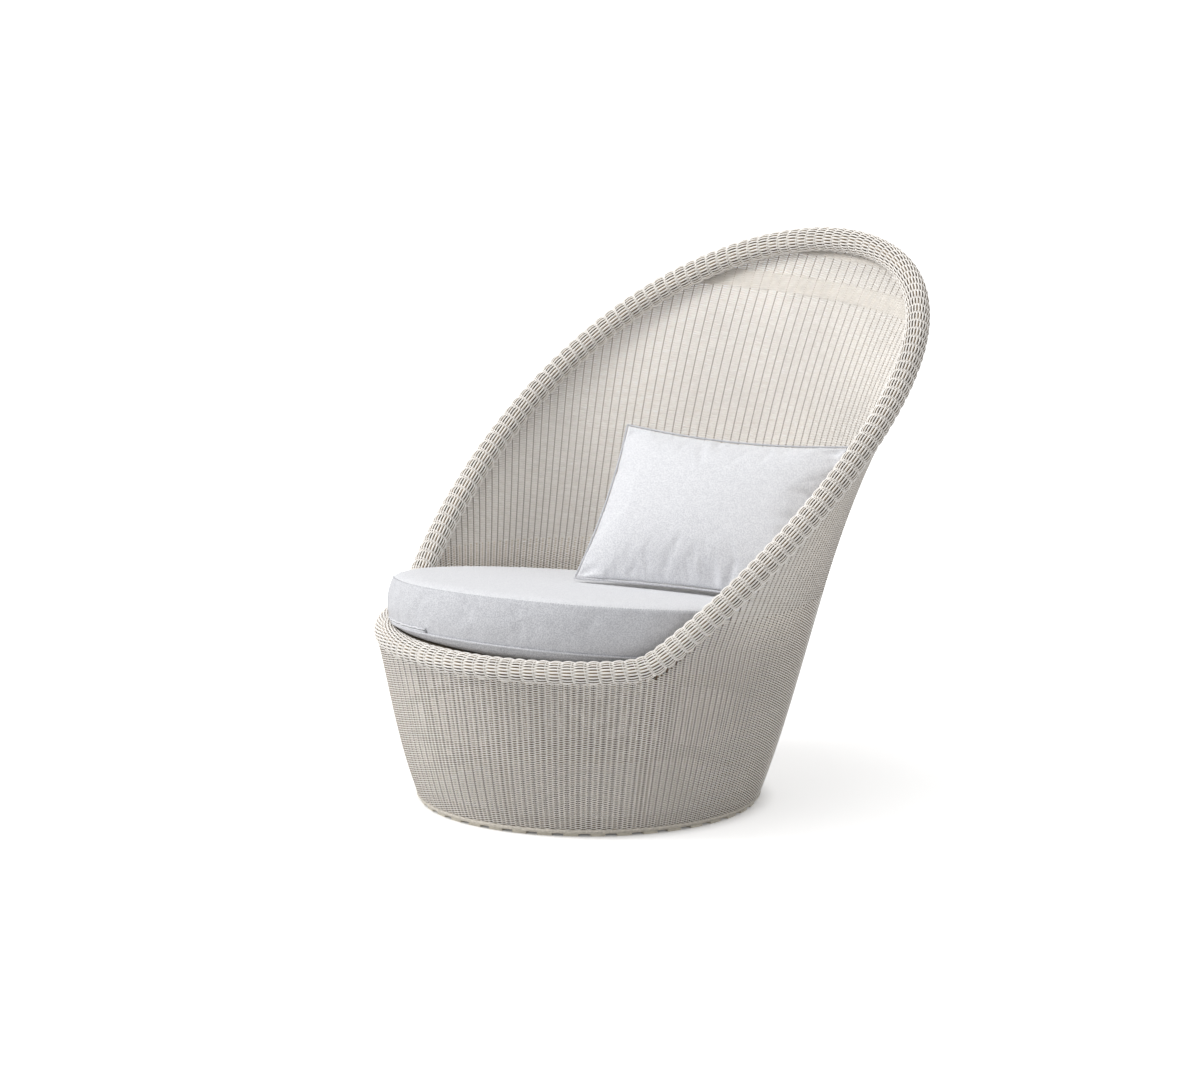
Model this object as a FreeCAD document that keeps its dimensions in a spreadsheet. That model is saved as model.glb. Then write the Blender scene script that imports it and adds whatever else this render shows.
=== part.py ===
import FreeCAD, Part
import math
import os

Vector = FreeCAD.Vector
Rotation = FreeCAD.Rotation
Placement = FreeCAD.Placement
UP = Vector(0, 0, 1)
ACROSS = Vector(1, 0, 0)
CENTRE = Vector(0, 0, 0)

doc = FreeCAD.newDocument("lounge_chair")

# Driving sizes, in millimetres and degrees
driving_sizes = {
    # woven shell: a flared drum that runs up into a high back
    "floor_radius": 300.0,
    "rim_radius": 385.3,
    "shoulder_radius": 504.2,
    "top_radius": 852.6,
    "rim_shift": 11.4,
    "shoulder_shift": -18.4,
    "top_shift": -221.9,
    "rim_height": 300.7,
    "shoulder_height": 600.0,
    "top_height": 930.0,
    "weave_thickness": 6.0,
    # arm line seen from the side
    "arm_start_forward": 143.7,
    "arm_run": 754.7,
    "arm_bow": 22.0,
    "arm_corner_softness": 20.0,
    # rolled rim and the tube inside it
    "rim_roll_radius": 22.5,
    "rim_roll_inset": 19.8,
    "rim_tube_radius": 10.0,
    # foot of the drum
    "glide_height": 5.0,
    "glide_length": 26.0,
    "glide_width": 14.0,
    "glide_radius": 291.0,
    "border_inner_radius": 280.0,
    "border_height": 8.0,
    "border_curl": 5.0,
    # flat bar frame behind the weave
    "bar_thickness": 4.0,
    "upright_width": 20.0,
    "base_ring_height": 20.0,
    "low_hoop_height": 145.0,
    "low_hoop_width": 15.0,
    "seat_ring_width": 22.0,
    "seat_ring_thickness": 5.0,
    "seat_bar_width": 25.0,
    "seat_bar_spacing": 190.0,
    "hoop_thickness": 2.0,
    "back_hoop_height": 841.0,
    "back_hoop_width": 28.0,
    "crown_hoop_height": 899.0,
    "crown_hoop_width": 8.0,
    # woven seat
    "seat_height": 272.0,
    "seat_tilt": 7.9,
    "seat_deck_thickness": 6.0,
    # round seat cushion
    "cushion_radius": 342.0,
    "cushion_back_offset": -10.0,
    "cushion_seam_radius": 332.0,
    "cushion_piping_radius": 330.0,
    "cushion_foot_radius": 306.0,
    "cushion_boxing_height": 81.0,
    "cushion_foot_depth": 18.0,
    "cushion_crown": 9.0,
    "cushion_crown_edge": 62.0,
    "foam_radius": 322.0,
    "foam_thickness": 88.0,
    "piping_radius": 2.5,
    "zip_width": 12.0,
    "zip_thickness": 1.6,
    "zip_sweep": 118.0,
    "zip_start": 152.0,
    "zip_slider_length": 13.0,
    "zip_slider_height": 7.0,
    # scatter pillow
    "pillow_width": 430.0,
    "pillow_height": 318.0,
    "pillow_thickness": 112.0,
    "pillow_edge_thickness": 5.0,
    "pillow_sag": 14.0,
    "pillow_cover_thickness": 2.0,
    "pillow_welt_radius": 2.5,
    "pillow_right": 116.0,
    "pillow_back": 185.0,
    "pillow_centre_height": 504.8,
    "pillow_yaw": 25.5,
    "pillow_lean": 41.4,
    "pillow_roll": 0.8,
    # room left between pieces, and how far a cutter runs past what it cuts
    "clearance": 0.3,
    "overrun": 10.0,
}

sheet = doc.addObject("Spreadsheet::Sheet", "sizes")
for row, (alias, value) in enumerate(driving_sizes.items(), start=1):
    sheet.set("A%d" % row, alias)
    sheet.set("B%d" % row, str(value))
    sheet.setAlias("B%d" % row, alias)
doc.recompute()


def size(alias):
    return float(getattr(sheet, alias))


# Counts and shares
glide_count = 40
shell_level_shares = (0.0, 0.12, 0.35, 0.48, 0.575, 0.66, 0.737, 0.808, 0.875, 0.94, 1.0)
skin_sides = 72
roll_spans = 28
roll_sides = 16
tube_spans = 18
tube_sides = 12
rim_samples = 720
upright_angles = {"front": 24.0, "side": 68.0, "rear": 112.0, "back": 156.0}
sides = {"left": -1, "right": 1}
crown_shoulder_share = 0.85
crown_middle_shares = (0.42, 0.58)
foot_curl_shares = (0.72, 0.3)
crown_chords = 1
boxing_chords = 4
curl_chords = 2

clearance = size("clearance")
overrun = size("overrun")
parts = []


def keep(label, item):
    item.Label = label
    parts.append(item)
    return item


def feature(label, shape):
    item = doc.addObject("Part::Feature", label)
    item.Shape = shape
    return keep(label, item)


# The largest solid that a cut leaves, without the slivers beyond the cutter
def largest(shape):
    return max(shape.Solids, key=lambda solid: solid.Volume)


# A smooth curve through four named values, one for each named height
def cubic(height, heights, values):
    total = 0.0
    for i, value in enumerate(values):
        weight = 1.0
        for j, other in enumerate(heights):
            if j != i:
                weight *= (height - other) / (heights[i] - other)
        total += weight * value
    return total


skin_heights = [0.0, size("rim_height"), size("shoulder_height"), size("top_height")]
skin_radii = [size("floor_radius"), size("rim_radius"), size("shoulder_radius"), size("top_radius")]
skin_shifts = [0.0, size("rim_shift"), size("shoulder_shift"), size("top_shift")]


def skin_radius(height):
    return cubic(height, skin_heights, skin_radii)


def skin_shift(height):
    return cubic(height, skin_heights, skin_shifts)


# Height of the rim's centre line at a distance behind the drum's centre
def rim_profile(back):
    share = (back + size("arm_start_forward")) / size("arm_run")
    rise = size("top_height") - size("rim_height")
    climb = rise * share + 4 * size("arm_bow") * share * (1 - share)
    return size("rim_height") + (climb + math.hypot(climb, size("arm_corner_softness"))) / 2


# Point of the rim's centre line at an angle from the front, found by halving
def rim_point(angle):
    low, high = size("rim_height") / 2, size("top_height") + size("rim_height")
    for step in range(60):
        height = (low + high) / 2
        radius = skin_radius(height) - size("rim_roll_inset")
        if height < rim_profile(skin_shift(height) - radius * math.cos(angle)):
            low = height
        else:
            high = height
    radius = skin_radius(low) - size("rim_roll_inset")
    return Vector(radius * math.sin(angle), skin_shift(low) - radius * math.cos(angle), low)


# The origin lies under the middle of the chair's box, so the drum's centre stands in front of it
rim_front = rim_point(0.0).y - size("rim_roll_radius")
rim_back = rim_point(math.pi).y + size("rim_roll_radius")
drum_y = -(rim_front + rim_back) / 2
drum_centre = Vector(0, drum_y, 0)


# Regular polygon round the Z axis, its corners on a circle
def polygon(radius, sides_round):
    turns = [2 * math.pi * i / sides_round for i in range(sides_round + 1)]
    return Part.makePolygon([Vector(radius * math.cos(turn), radius * math.sin(turn), 0) for turn in turns])


# Outline of the shell at a height, drawn in by an inset
def skin_outline(height, inset):
    outline = polygon(skin_radius(height) - inset, skin_sides)
    outline.translate(drum_centre + Vector(0, skin_shift(height), height))
    return outline


# Solid inside the shell's outer face, drawn in by an inset, tapering straight between its levels
def skin_solid(inset, levels):
    return Part.makeLoft([skin_outline(height, inset) for height in levels], True, True)


# Flat bar that follows the shell round, between two insets and two heights
def skin_band(outer_inset, inner_inset, levels, low, high):
    below = max(level for level in levels if level <= low)
    above = min(level for level in levels if level >= high)
    span = [level for level in levels if below <= level <= above]
    ring = skin_solid(outer_inset, span).cut(skin_solid(inner_inset, span))
    reach = 2 * size("top_radius")
    return ring.common(Part.makeBox(2 * reach, 2 * reach, high - low, Vector(-reach, -reach, low)))


# Levels between two heights, placed by shares of the way up
def levels_between(low, high, shares):
    return [low + (high - low) * share for share in shares]


# An arc as a number of straight chords
def chords(arc, count):
    points = arc.toShape().discretize(Number=count + 1)
    return [Part.makeLine(a, b) for a, b in zip(points, points[1:])]


# Angles along half of the rim, closer together where its centre line bends more
def rim_angles(spans):
    angles = [math.pi * i / rim_samples for i in range(rim_samples + 1)]
    points = [rim_point(angle) for angle in angles]
    reach = [0.0, 0.0]
    for a, b, c in zip(points, points[1:], points[2:]):
        reach.append(reach[-1] + math.sqrt((b - a).getAngle(c - b) * (c - a).Length))
    stations = [angles[0]]
    for i in range(1, spans):
        goal = reach[-1] * i / spans
        stations.append(next(angle for angle, along in zip(angles, reach) if along >= goal))
    return stations + [angles[-1]]


# Bar along the whole rim: many-sided sections square to the centre line, joined by straight spans
def rim_bar(radius, spans, sides_round):
    sections = []
    nudge = math.pi / rim_samples
    for angle in rim_angles(spans):
        way = rim_point(angle + nudge) - rim_point(angle - nudge)
        way.x = abs(way.x) if angle in (0.0, math.pi) else way.x
        outward = Vector(math.sin(angle), -math.cos(angle), 0)
        section = polygon(radius, sides_round)
        section.Placement = Placement(drum_centre + rim_point(angle), Rotation(outward, UP, way, "ZXY"))
        sections.append(section)
    half = Part.makeLoft(sections, True, True)
    return half.fuse(half.mirror(CENTRE, ACROSS))


# Everything above the rim's centre line
def above_rim():
    far = size("top_radius")
    points = []
    steps = roll_spans
    first = rim_point(0.0).y - far
    last = rim_point(math.pi).y + far / 2
    for i in range(steps + 1):
        back = first + (last - first) * i / steps
        points.append(drum_centre + Vector(-far, back, rim_profile(back)))
    top = 3 * far
    corners = [points[-1], Vector(-far, points[-1].y, top), Vector(-far, points[0].y, top), points[0]]
    return Part.Face(Part.makePolygon(points + corners[1:])).extrude(Vector(2 * far, 0, 0))


# Tilted slab of the seat: depths are measured down from the top of the woven seat
seat_place = Placement(drum_centre + Vector(0, 0, size("seat_height")), Rotation(ACROSS, -size("seat_tilt")))


def seat_slab(top_depth, bottom_depth):
    reach = size("rim_radius") + overrun
    slab = Part.makeBox(2 * reach, 2 * reach, bottom_depth - top_depth, Vector(-reach, -reach, -bottom_depth))
    slab.Placement = seat_place
    return slab


weave = size("weave_thickness")
bar = size("bar_thickness")
foot = size("glide_height") + size("border_height")
upright_outer = weave + clearance
upright_inner = upright_outer + bar
ring_outer = upright_inner + clearance

rim_cutter = rim_bar(size("rim_roll_radius") + clearance, roll_spans, roll_sides)
sky = above_rim()

# Woven shell, open at the top along the rim, with slots for the hoops woven into the back
shell_levels = levels_between(foot, size("top_height") + size("rim_roll_radius"), shell_level_shares)
hoop_outer = (weave - size("hoop_thickness")) / 2
hoop_inner = hoop_outer + size("hoop_thickness")


def back_hoop(height, width, room):
    low = height - width / 2 - room
    high = height + width / 2 + room
    return skin_band(hoop_outer - room, hoop_inner + room, shell_levels, low, high).cut(sky)


hoops = {
    "back_hoop": (size("back_hoop_height"), size("back_hoop_width")),
    "crown_hoop": (size("crown_hoop_height"), size("crown_hoop_width")),
}
shell = skin_solid(0.0, shell_levels).cut(skin_solid(weave, shell_levels))
shell = shell.cut(sky).cut(rim_cutter)
for name, (height, width) in hoops.items():
    shell = shell.cut(back_hoop(height, width, clearance))
    feature(name, largest(back_hoop(height, width, 0.0).cut(rim_cutter)))
feature("woven_shell", largest(shell))

# Rolled rim over its tube
feature("rim_tube", rim_bar(size("rim_tube_radius"), tube_spans, tube_sides))
roll = rim_bar(size("rim_roll_radius"), roll_spans, roll_sides)
feature("rim_roll", roll.cut(rim_bar(size("rim_tube_radius") + clearance, tube_spans, tube_sides)))

# Border under the weave: a turned ring with its lower outside edge curled in
border = doc.addObject("PartDesign::Body", "bottom_border_body")
origin_planes = {plane.Role: plane for plane in border.Origin.OriginFeatures}
border_sketch = border.newObject("Sketcher::SketchObject", "border_section")
border_sketch.AttachmentSupport = [(origin_planes["XZ_Plane"], "")]
border_sketch.MapMode = "FlatFace"
border_outer = skin_radius(foot)
corner_points = [
    (size("border_inner_radius"), size("glide_height")),
    (border_outer - size("border_curl"), size("glide_height")),
    (border_outer, size("glide_height") + size("border_curl")),
    (border_outer, foot),
    (size("border_inner_radius"), foot),
]
section_points = [Vector(x, y, 0) for x, y in corner_points]
for start, end in zip(section_points, section_points[1:] + section_points[:1]):
    border_sketch.addGeometry(Part.LineSegment(start, end), False)
border_turn = border.newObject("PartDesign::Revolution", "border_turn")
border_turn.Profile = border_sketch
border_turn.ReferenceAxis = (border_sketch, ["V_Axis"])
border_turn.Angle = 360.0
border.Placement = Placement(drum_centre, Rotation())
keep("bottom_border", border)

# Glides under the border
glides = []
for i in range(glide_count):
    glide = doc.addObject("Part::Box", "glide_%02d" % (i + 1))
    glide.setExpression("Length", "sizes.glide_length")
    glide.setExpression("Width", "sizes.glide_width")
    glide.setExpression("Height", "sizes.glide_height")
    turn = Rotation(UP, 360.0 * i / glide_count)
    corner = Vector(-size("glide_length") / 2, -size("glide_radius") - size("glide_width") / 2, 0)
    glide.Placement = Placement(drum_centre + turn.multVec(corner), turn)
    glides.append(glide)
glide_set = doc.addObject("Part::Compound", "glide_set")
glide_set.Links = glides
keep("floor_glides", glide_set)

# Rings and uprights of flat bar behind the weave
ring_inner = ring_outer + bar
room_top = size("rim_height") + 2 * size("rim_roll_radius")
frame_levels = [level for level in shell_levels if level < room_top]
frame_levels.append(shell_levels[len(frame_levels)])
base_ring_top = foot + size("base_ring_height")
feature("base_ring", skin_band(ring_outer, ring_inner, frame_levels, foot, base_ring_top))
low_hoop_low = size("low_hoop_height") - size("low_hoop_width") / 2
low_hoop_high = size("low_hoop_height") + size("low_hoop_width") / 2
feature("low_hoop", skin_band(ring_outer, ring_inner, frame_levels, low_hoop_low, low_hoop_high))

deck_depth = size("seat_deck_thickness")
ring_depth = deck_depth + size("seat_ring_thickness")
bar_depth = ring_depth + bar
inside_weave = skin_solid(upright_outer, frame_levels)
inside_uprights = skin_solid(ring_outer, frame_levels)
upright_skin = inside_weave.cut(skin_solid(upright_inner, frame_levels))
above_ring = seat_slab(-2 * size("seat_height"), deck_depth)
upright_skin = upright_skin.cut(above_ring).cut(rim_cutter)
for place, angle in upright_angles.items():
    for side, sign in sides.items():
        width = size("upright_width")
        strip = Part.makeBox(width, size("rim_radius"), room_top, Vector(-width / 2, -size("rim_radius"), 0))
        strip.Placement = Placement(drum_centre, Rotation(UP, sign * angle))
        feature("%s_upright_%s" % (place, side), largest(upright_skin.common(strip)))

# Seat: woven deck on a flat ring, with three bars across under the ring
feature("seat_deck", largest(inside_weave.common(seat_slab(0.0, deck_depth)).cut(rim_cutter)))
ring_hole = skin_solid(ring_outer + size("seat_ring_width"), frame_levels)
seat_ring = inside_uprights.cut(ring_hole).common(seat_slab(deck_depth, ring_depth)).cut(rim_cutter)
feature("seat_ring", largest(seat_ring))
for name, step in {"front": -1, "middle": 0, "rear": 1}.items():
    half_width = size("seat_bar_width") / 2
    reach = size("rim_radius")
    near = step * size("seat_bar_spacing") - half_width
    seat_bar = Part.makeBox(2 * reach, 2 * half_width, bar, Vector(-reach, near, -bar_depth))
    seat_bar.Placement = seat_place
    feature("%s_seat_bar" % name, largest(seat_bar.common(inside_uprights).cut(rim_cutter)))

# Seat cushion: turned about an axis that stands on the tilted seat
cushion_seam_height = size("cushion_boxing_height") + size("cushion_foot_depth") + clearance
cushion_place = seat_place.multiply(Placement(Vector(0, size("cushion_back_offset"), 0), Rotation()))


# Solid turned from an outline of edges in the XZ plane, closed along the axis
def turned(edges, start_angle, sweep):
    outline = Part.Wire(Part.__sortEdges__(edges))
    solid = Part.Face(outline).revolve(CENTRE, UP, sweep)
    solid.rotate(CENTRE, UP, start_angle)
    return solid


def cushion_outline():
    seam = Vector(size("cushion_seam_radius"), 0, cushion_seam_height)
    edge, crown = size("cushion_crown_edge"), size("cushion_crown")
    shoulder = seam + Vector(-edge, 0, crown * crown_shoulder_share)
    middle = seam + Vector(-edge * crown_middle_shares[0], 0, crown * crown_middle_shares[1])
    top = Vector(0, 0, cushion_seam_height + crown)
    belly = Vector(size("cushion_radius"), 0, cushion_seam_height - size("cushion_boxing_height") / 2)
    piping = Vector(size("cushion_piping_radius"), 0, cushion_seam_height - size("cushion_boxing_height"))
    foot_edge = Vector(size("cushion_foot_radius"), 0, clearance)
    curl = foot_edge + Vector(
        (piping.x - foot_edge.x) * foot_curl_shares[0], 0, (piping.z - foot_edge.z) * foot_curl_shares[1])
    axis_foot = Vector(0, 0, clearance)
    edges = chords(Part.Arc(seam, middle, shoulder), crown_chords)
    edges += chords(Part.Arc(seam, belly, piping), boxing_chords)
    edges += chords(Part.Arc(piping, curl, foot_edge), curl_chords)
    corners = [shoulder, top, axis_foot, foot_edge]
    return edges + [Part.makeLine(a, b) for a, b in zip(corners, corners[1:])]


def on_cushion(shape):
    shape.Placement = cushion_place.multiply(shape.Placement)
    return shape


foam_low = clearance + (cushion_seam_height + size("cushion_crown") - size("foam_thickness")) / 3
foam_high = foam_low + size("foam_thickness")
foam = Part.makeCylinder(size("foam_radius"), foam_high - foam_low, Vector(0, 0, foam_low))
foam_room = Part.makeCylinder(
    size("foam_radius") + clearance,
    foam_high - foam_low + 2 * clearance,
    Vector(0, 0, foam_low - clearance),
)
feature("seat_cushion_foam", on_cushion(foam))
feature("seat_cushion_cover", on_cushion(turned(cushion_outline(), 0.0, 360.0).cut(foam_room)))

# Piping sewn round the foot of the boxing, four-sided, and the zip above it
piping_height = cushion_seam_height - size("cushion_boxing_height")
piping_middle = size("cushion_piping_radius") + size("piping_radius") + clearance
piping_section = polygon(size("piping_radius"), 4)
piping_section.Placement = Placement(Vector(piping_middle, 0, piping_height), Rotation(ACROSS, 90.0))
feature("seat_cushion_piping", on_cushion(turned(piping_section.Edges, 0.0, 360.0)))


# Radius of the boxing at a height above the piping, on its arc
def boxing_radius(height):
    seam = Vector(size("cushion_seam_radius"), cushion_seam_height, 0)
    belly = Vector(size("cushion_radius"), cushion_seam_height - size("cushion_boxing_height") / 2, 0)
    foot_point = Vector(size("cushion_piping_radius"), piping_height, 0)
    circle = Part.Arc(seam, belly, foot_point).toShape().Curve
    rise = height + piping_height - circle.Center.y
    return circle.Center.x + math.sqrt(circle.Radius ** 2 - rise ** 2)


# Strip that follows the boxing between two heights, at a gap outside it
def boxing_strip(low, high, gap, start_angle, sweep):
    corners = []
    for height, deep in ((low, 0.0), (low, size("zip_thickness")), (high, size("zip_thickness")), (high, 0.0)):
        corners.append(Vector(boxing_radius(height) + gap + deep, 0, piping_height + height))
    return turned([Part.makeLine(a, b) for a, b in zip(corners, corners[1:] + corners[:1])], start_angle, sweep)


zip_low = 2 * size("piping_radius") + clearance
zip_high = zip_low + size("zip_width")
zip_strip = boxing_strip(zip_low, zip_high, clearance, size("zip_start"), size("zip_sweep"))
feature("seat_cushion_zip", on_cushion(zip_strip))
slider_low = (zip_low + zip_high - size("zip_slider_height")) / 2
slider_high = slider_low + size("zip_slider_height")
slider_gap = size("zip_thickness") + 2 * clearance
slider_sweep = math.degrees(size("zip_slider_length") / size("cushion_radius"))
slider_end = size("zip_start") + size("zip_sweep")
slider = boxing_strip(slider_low, slider_high, slider_gap, slider_end - slider_sweep, slider_sweep)
feature("zip_slider", on_cushion(slider))

# Scatter pillow
pillow_turn = Rotation(UP, size("pillow_yaw"))
pillow_turn = pillow_turn.multiply(Rotation(ACROSS, -size("pillow_lean")))
pillow_turn = pillow_turn.multiply(Rotation(Vector(0, 1, 0), size("pillow_roll")))
pillow_centre = drum_centre + Vector(size("pillow_right"), size("pillow_back"), size("pillow_centre_height"))
pillow_place = Placement(pillow_centre, pillow_turn)


# Flat outline of the pillow, its long edges drawn in between the corners, as a plate of a thickness
def pillow_plate(gap, thickness):
    far = size("pillow_width") / 2 + gap
    tall = size("pillow_height") / 2 + gap
    waist = tall - size("pillow_sag")
    front = -thickness / 2
    corners = [Vector(x * far, front, z * tall) for x, z in ((-1, 1), (1, 1), (1, -1), (-1, -1))]
    edges = [
        Part.Arc(corners[0], Vector(0, front, waist), corners[1]).toShape(),
        Part.makeLine(corners[1], corners[2]),
        Part.Arc(corners[2], Vector(0, front, -waist), corners[3]).toShape(),
        Part.makeLine(corners[3], corners[0]),
    ]
    return Part.Face(Part.Wire(edges)).extrude(Vector(0, thickness, 0))


# Swelling between two opposite edges: a lens with a thin edge, run along the other direction
def pillow_lens(reach, along, depth, edge, run):
    near, far = along * -reach, along * reach
    back, thin = Vector(0, depth, 0), Vector(0, edge, 0)
    edges = [
        Part.Arc(near + thin, back, far + thin).toShape(),
        Part.makeLine(far + thin, far - thin),
        Part.Arc(far - thin, back * -1, near - thin).toShape(),
        Part.makeLine(near - thin, near + thin),
    ]
    lens = Part.Face(Part.Wire(edges)).extrude(run * 2)
    lens.translate(run * -1)
    return lens


def pillow_solid(gap):
    width, height = size("pillow_width"), size("pillow_height")
    depth = size("pillow_thickness") / 2 + gap
    edge = size("pillow_edge_thickness") / 2 + gap / 2
    tall = pillow_lens(height / 2 + gap, UP, depth, edge, ACROSS * width)
    wide = pillow_lens(width / 2 + gap, ACROSS, depth, edge, UP * height)
    return tall.common(wide).common(pillow_plate(gap, 2 * depth))


def on_pillow(shape):
    shape.Placement = pillow_place
    return shape


pillow_skin = size("pillow_cover_thickness")
feature("pillow_fill", on_pillow(pillow_solid(-pillow_skin)))
feature("pillow_cover", on_pillow(pillow_solid(0.0).cut(pillow_solid(clearance - pillow_skin))))

# Welt sewn into the pillow's seam, a narrow strip round its edge
welt_width = 2 * size("pillow_welt_radius")
welt = pillow_plate(welt_width + clearance, welt_width).cut(pillow_plate(clearance, 2 * welt_width))
feature("pillow_welt", on_pillow(welt))

doc.recompute()

faults = []
for item in doc.Objects:
    if "Invalid" in item.State or "Error" in item.State:
        faults.append("%s: %s" % (item.Name, item.State))
for item in parts:
    if item.Shape.isNull() or not item.Shape.isValid():
        faults.append("%s: shape is null or not valid" % item.Label)
if faults:
    raise RuntimeError("; ".join(faults))

os.makedirs("parts", exist_ok=True)
for item in parts:
    item.Shape.exportStep("parts/%s.step" % item.Label)
    box = item.Shape.BoundBox
    print("%-22s %d solid(s) %8.1f cm3  z %.1f to %.1f" % (
        item.Label, len(item.Shape.Solids), item.Shape.Volume / 1000, box.ZMin, box.ZMax))
print("drum centre at y = %.2f mm" % drum_y)
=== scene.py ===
import bpy
import math
import numpy as np
from mathutils import Matrix, Vector


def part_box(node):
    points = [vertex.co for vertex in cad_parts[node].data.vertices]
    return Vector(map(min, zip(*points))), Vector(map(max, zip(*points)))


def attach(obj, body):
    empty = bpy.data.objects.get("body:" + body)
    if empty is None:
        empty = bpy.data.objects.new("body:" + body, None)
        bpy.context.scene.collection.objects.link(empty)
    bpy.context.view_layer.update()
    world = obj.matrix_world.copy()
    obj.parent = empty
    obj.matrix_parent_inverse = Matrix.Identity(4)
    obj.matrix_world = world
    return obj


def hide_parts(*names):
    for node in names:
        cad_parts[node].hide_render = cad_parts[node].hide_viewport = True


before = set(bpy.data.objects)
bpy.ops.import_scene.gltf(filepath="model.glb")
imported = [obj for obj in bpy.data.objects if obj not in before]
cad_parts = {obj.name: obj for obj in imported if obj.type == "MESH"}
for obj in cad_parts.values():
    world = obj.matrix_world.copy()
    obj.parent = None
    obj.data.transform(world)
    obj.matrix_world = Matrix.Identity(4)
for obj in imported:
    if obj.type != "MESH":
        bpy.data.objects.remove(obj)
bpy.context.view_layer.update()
scene = bpy.context.scene
mm = 0.001
print("frame loaded:", len(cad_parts), "nodes")

# Lines and directions
def unit(v):
    return v / np.linalg.norm(v, axis=-1, keepdims=True)   # each vector over its own length


def turnsRound(count):
    return np.arange(count) * 2 * math.pi / count   # even turns of a full circle


def directionsRound(first, second, count):
    # directions round a line: the first by the cosine of each turn and the second by its sine
    turns = turnsRound(count)
    return first[..., None, :] * np.cos(turns)[:, None] + second[..., None, :] * np.sin(turns)[:, None]


def alongLine(points):
    # distance along a line of points, from its first one
    return np.concatenate([[0], np.cumsum(np.linalg.norm(np.diff(points, axis=0), axis=1))])


def bendTo(outward, way):
    # the outward directions made square to the line's own way
    return unit(outward - way * (outward * way).sum(-1, keepdims=True))


# Shell form, in millimetres: four heights with the wall's radius and the shift of its centre there
shell = {
    "heights": [0.0, 300.7, 600.0, 930.0],
    "radii": [300.0, 385.3, 504.2, 852.6],
    "shifts": [0.0, 11.4, -18.4, -221.9],
    "armStart": -143.7,
    "armRun": 754.7,
    "armBow": 22.0,
    "armSoftness": 20.0,
    "rimInset": 19.8,
    "wall": 6.0,
    "stakes": 152,
    "leanFrom": 330.0,   # above this height the stakes lean to the back
    "leanShare": 0.7,
    "searchShares": (0.5, 1.3),   # the rim is looked for between these shares of its ends' heights
    "halvings": 50,
    "rimSamples": 7200,
}
padLow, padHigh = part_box("floor_glides")
drumY = (padLow.y + padHigh.y) / 2 / mm   # the drum stands in front of the origin

radiusCurve = np.polyfit(shell["heights"], shell["radii"], 3)
shiftCurve = np.polyfit(shell["heights"], shell["shifts"], 3)


def skinRadius(z):
    return np.polyval(radiusCurve, z)   # cubic through the four radii


def skinShift(z):
    return np.polyval(shiftCurve, z)   # cubic through the four shifts of the circles' centres


def rimHeight(y):
    # height of the rim's middle line: level in front, then a bowed climb, with a soft corner between
    share = (y - shell["armStart"]) / shell["armRun"]
    rise = shell["heights"][3] - shell["heights"][1]
    climb = rise * share + 4 * shell["armBow"] * share * (1 - share)
    return shell["heights"][1] + (climb + np.hypot(climb, shell["armSoftness"])) / 2


def rimPoint(angle):
    # where the rim's surface of that height meets the skin's circles, found by halving
    angle = np.asarray(angle, float)
    low = np.full(angle.shape, shell["heights"][1] * shell["searchShares"][0])
    high = np.full(angle.shape, shell["heights"][3] * shell["searchShares"][1])
    for step in range(shell["halvings"]):
        z = (low + high) / 2
        radius = skinRadius(z) - shell["rimInset"]
        under = z < rimHeight(skinShift(z) - radius * np.cos(angle))
        low = np.where(under, z, low)
        high = np.where(under, high, z)
    radius = skinRadius(low) - shell["rimInset"]
    return np.stack([radius * np.sin(angle), skinShift(low) - radius * np.cos(angle) + drumY, low], -1)


def leanGrowth(z):
    # how much the radius has grown above the drum, to the power of the lean's share
    above = np.maximum(z, shell["leanFrom"])
    return (skinRadius(above) / skinRadius(shell["leanFrom"])) ** shell["leanShare"]


def stakeAngle(start, z):
    # a stake keeps its start angle up the drum, then tan(angle / 2) grows with the shell's radius
    return 2 * np.arctan2(np.sin(start / 2) * leanGrowth(z), np.cos(start / 2))


def stakeStarts():
    # the stakes meet the rim at even distances along it, and each is followed down to the drum
    fine = np.linspace(0, 2 * math.pi, shell["rimSamples"] + 1)
    rim = rimPoint(fine)
    reach = alongLine(rim)
    even = np.interp(np.linspace(0, reach[-1], shell["stakes"] + 1), reach, fine)
    return even, 2 * np.arctan2(np.sin(even / 2), np.cos(even / 2) * leanGrowth(rimPoint(even)[:, 2]))


rimAngles, drumAngles = stakeStarts()


def between(values, shares):
    # values at the stakes and at shares of the way to the next one, all round
    places = (np.arange(shell["stakes"])[:, None] + np.asarray(shares)[None, :]).ravel()
    return np.interp(places, np.arange(shell["stakes"] + 1), values)


# Mesh helpers
def makePiece(name, points, faces, material, body=None, smooth=True, attributes=None):
    # points in metres, faces as an array of rows of corner numbers
    mesh = bpy.data.meshes.new(name)
    points = np.asarray(points, np.float32).reshape(-1, 3)
    faces = np.asarray(faces, np.int32)
    corners = faces.shape[1]
    mesh.vertices.add(len(points))
    mesh.vertices.foreach_set("co", points.ravel())
    mesh.loops.add(faces.size)
    mesh.loops.foreach_set("vertex_index", faces.ravel())
    mesh.polygons.add(len(faces))
    mesh.polygons.foreach_set("loop_start", np.arange(0, faces.size, corners, dtype=np.int32))
    mesh.polygons.foreach_set("use_smooth", np.full(len(faces), smooth))
    for key, values in (attributes or {}).items():
        values = np.asarray(values, np.float32).ravel()
        mesh.attributes.new(key, "FLOAT", "POINT").data.foreach_set("value", values)
    mesh.update(calc_edges=True)
    mesh.validate()
    mesh.materials.append(material)
    piece = bpy.data.objects.new(name, mesh)
    scene.collection.objects.link(piece)
    if body:
        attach(piece, body)
    return piece


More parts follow.
